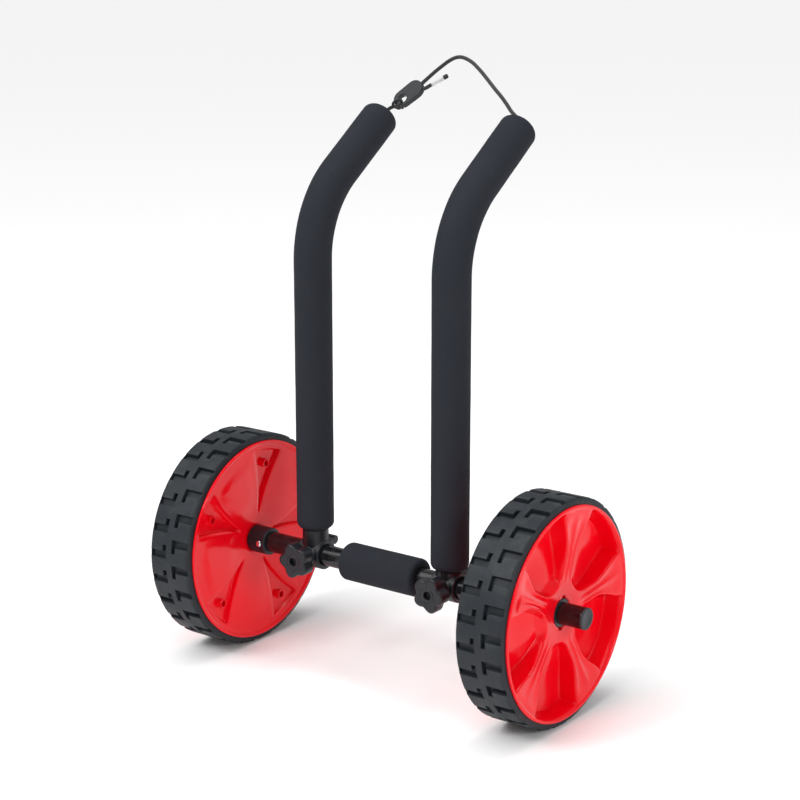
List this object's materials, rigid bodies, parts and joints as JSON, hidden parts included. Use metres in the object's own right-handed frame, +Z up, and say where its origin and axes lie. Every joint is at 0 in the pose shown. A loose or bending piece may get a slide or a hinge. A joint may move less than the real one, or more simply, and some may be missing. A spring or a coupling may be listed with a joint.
{
  "type": "beach cart",
  "caption": "Two-wheeled beach cart: red airless wheels on a padded axle and two padded, bent arms clamped to it, with a hooked shock cord across their tops.",
  "frame": {"origin": "on the ground, midway between the wheels and under the axle", "axes": "+X along the axle to the right wheel, +Y to the side that the arms bend to, +Z up"},
  "size_m": [0.552, 0.3126, 0.7083],
  "materials": {
    "black_tube": "gloss black paint on aluminium tube",
    "foam": "matt closed-cell foam with a fine skin",
    "cord": "braided cover of a shock cord",
    "black_plastic": "satin moulded plastic",
    "grey_plastic": "satin moulded plastic",
    "clear_sleeve": "clear heat-shrink sleeve",
    "bright_steel": "bright plated steel",
    "brass": "turned",
    "red_plastic": "gloss moulded plastic",
    "tyre": "matt solid rubber"
  },
  "bodies": {
    "root": {"axle_tube": "black_tube", "axle_pad": "foam", "left_hub_sleeve": "black_plastic", "left_end_plug": "grey_plastic", "left_button_spring": "bright_steel", "right_hub_sleeve": "black_plastic", "right_end_plug": "grey_plastic", "right_button_spring": "bright_steel"},
    "left_wheel": {"left_outer_wheel_shell": "red_plastic", "left_inner_wheel_shell": "red_plastic", "left_tyre": "tyre", "left_wheel_screws": "bright_steel"},
    "left_button": {"left_release_button": "bright_steel"},
    "left_liner_ring": {"left_liner": "grey_plastic"},
    "left_arm": {"left_clamp_outer_half": "black_plastic", "left_clamp_inner_half": "black_plastic", "left_clamp_screw": "bright_steel", "left_clamp_nut": "bright_steel", "left_arm_tube": "black_tube", "left_arm_rivet": "bright_steel", "left_arm_foam": "foam", "left_arm_plug": "black_plastic", "left_anchor_knot": "cord", "left_loop": "cord", "cord_hook": "black_plastic", "cord_tail": "cord", "tail_sleeve": "clear_sleeve"},
    "left_pad": {"left_pressure_pad": "brass"},
    "left_knob_body": {"left_knob": "black_plastic", "left_knob_stud": "bright_steel"},
    "right_wheel": {"right_outer_wheel_shell": "red_plastic", "right_inner_wheel_shell": "red_plastic", "right_tyre": "tyre", "right_wheel_screws": "bright_steel"},
    "right_button": {"right_release_button": "bright_steel"},
    "right_liner_ring": {"right_liner": "grey_plastic"},
    "right_arm": {"right_clamp_outer_half": "black_plastic", "right_clamp_inner_half": "black_plastic", "right_clamp_screw": "bright_steel", "right_clamp_nut": "bright_steel", "right_arm_tube": "black_tube", "right_arm_rivet": "bright_steel", "right_arm_foam": "foam", "right_arm_plug": "black_plastic", "right_anchor_knot": "cord", "bungee_cord": "cord"},
    "right_pad": {"right_pressure_pad": "brass"},
    "right_knob_body": {"right_knob": "black_plastic", "right_knob_stud": "bright_steel"}
  },
  "joints": [
    {"name": "left_wheel_spin", "type": "hinge", "parent": "root", "child": "left_wheel", "pos_m": [-0.22, 0, 0.13], "axis": [1, 0, 0], "continuous": true},
    {"name": "left_button_press", "type": "slide", "parent": "root", "child": "left_button", "axis": [0, 1, 0], "range_m": [0, 0.004], "stiffness_N_per_m": 600, "springref_m": -0.003},
    {"name": "right_wheel_spin", "type": "hinge", "parent": "root", "child": "right_wheel", "pos_m": [0.22, 0, 0.13], "axis": [1, 0, 0], "continuous": true},
    {"name": "right_button_press", "type": "slide", "parent": "root", "child": "right_button", "axis": [0, 1, 0], "range_m": [0, 0.004], "stiffness_N_per_m": 600, "springref_m": -0.003},
    {"name": "left_clamp_slide", "type": "slide", "parent": "root", "child": "left_liner_ring", "axis": [-1, 0, 0], "range_m": [-0.022, 0.05]},
    {"name": "right_clamp_slide", "type": "slide", "parent": "root", "child": "right_liner_ring", "axis": [1, 0, 0], "range_m": [-0.022, 0.05]},
    {"name": "arms_tilt", "type": "hinge", "parent": "left_liner_ring", "child": "left_arm", "pos_m": [-0.102, 0, 0.13], "axis": [-1, 0, 0], "range_deg": [-90, 80]},
    {"name": "arms_spread", "type": "slide", "parent": "left_arm", "child": "right_arm", "axis": [1, 0, 0], "range_m": [-0.044, 0.1], "deforming": ["bungee_cord"]},
    {"name": "left_pad_press", "type": "slide", "parent": "left_arm", "child": "left_pad", "axis": [0, -1, 0], "range_m": [0, 0.0025]},
    {"name": "left_knob_turn", "type": "hinge", "parent": "left_pad", "child": "left_knob_body", "pos_m": [-0.102, -0.036, 0.13], "axis": [0, -1, 0], "range_deg": [0, 720]},
    {"name": "right_pad_press", "type": "slide", "parent": "right_arm", "child": "right_pad", "axis": [0, -1, 0], "range_m": [0, 0.0025]},
    {"name": "right_knob_turn", "type": "hinge", "parent": "right_pad", "child": "right_knob_body", "pos_m": [0.093, -0.036, 0.13], "axis": [0, -1, 0], "range_deg": [0, 720]}
  ],
  "couplings": [
    {"joint": "right_clamp_slide", "follows": "left_clamp_slide", "ratio": 1},
    {"joint": "arms_spread", "follows": "left_clamp_slide", "ratio": 2},
    {"joint": "left_pad_press", "follows": "left_knob_turn", "m_per_rad": 0.00019892},
    {"joint": "right_pad_press", "follows": "right_knob_turn", "m_per_rad": 0.00019892}
  ]
}
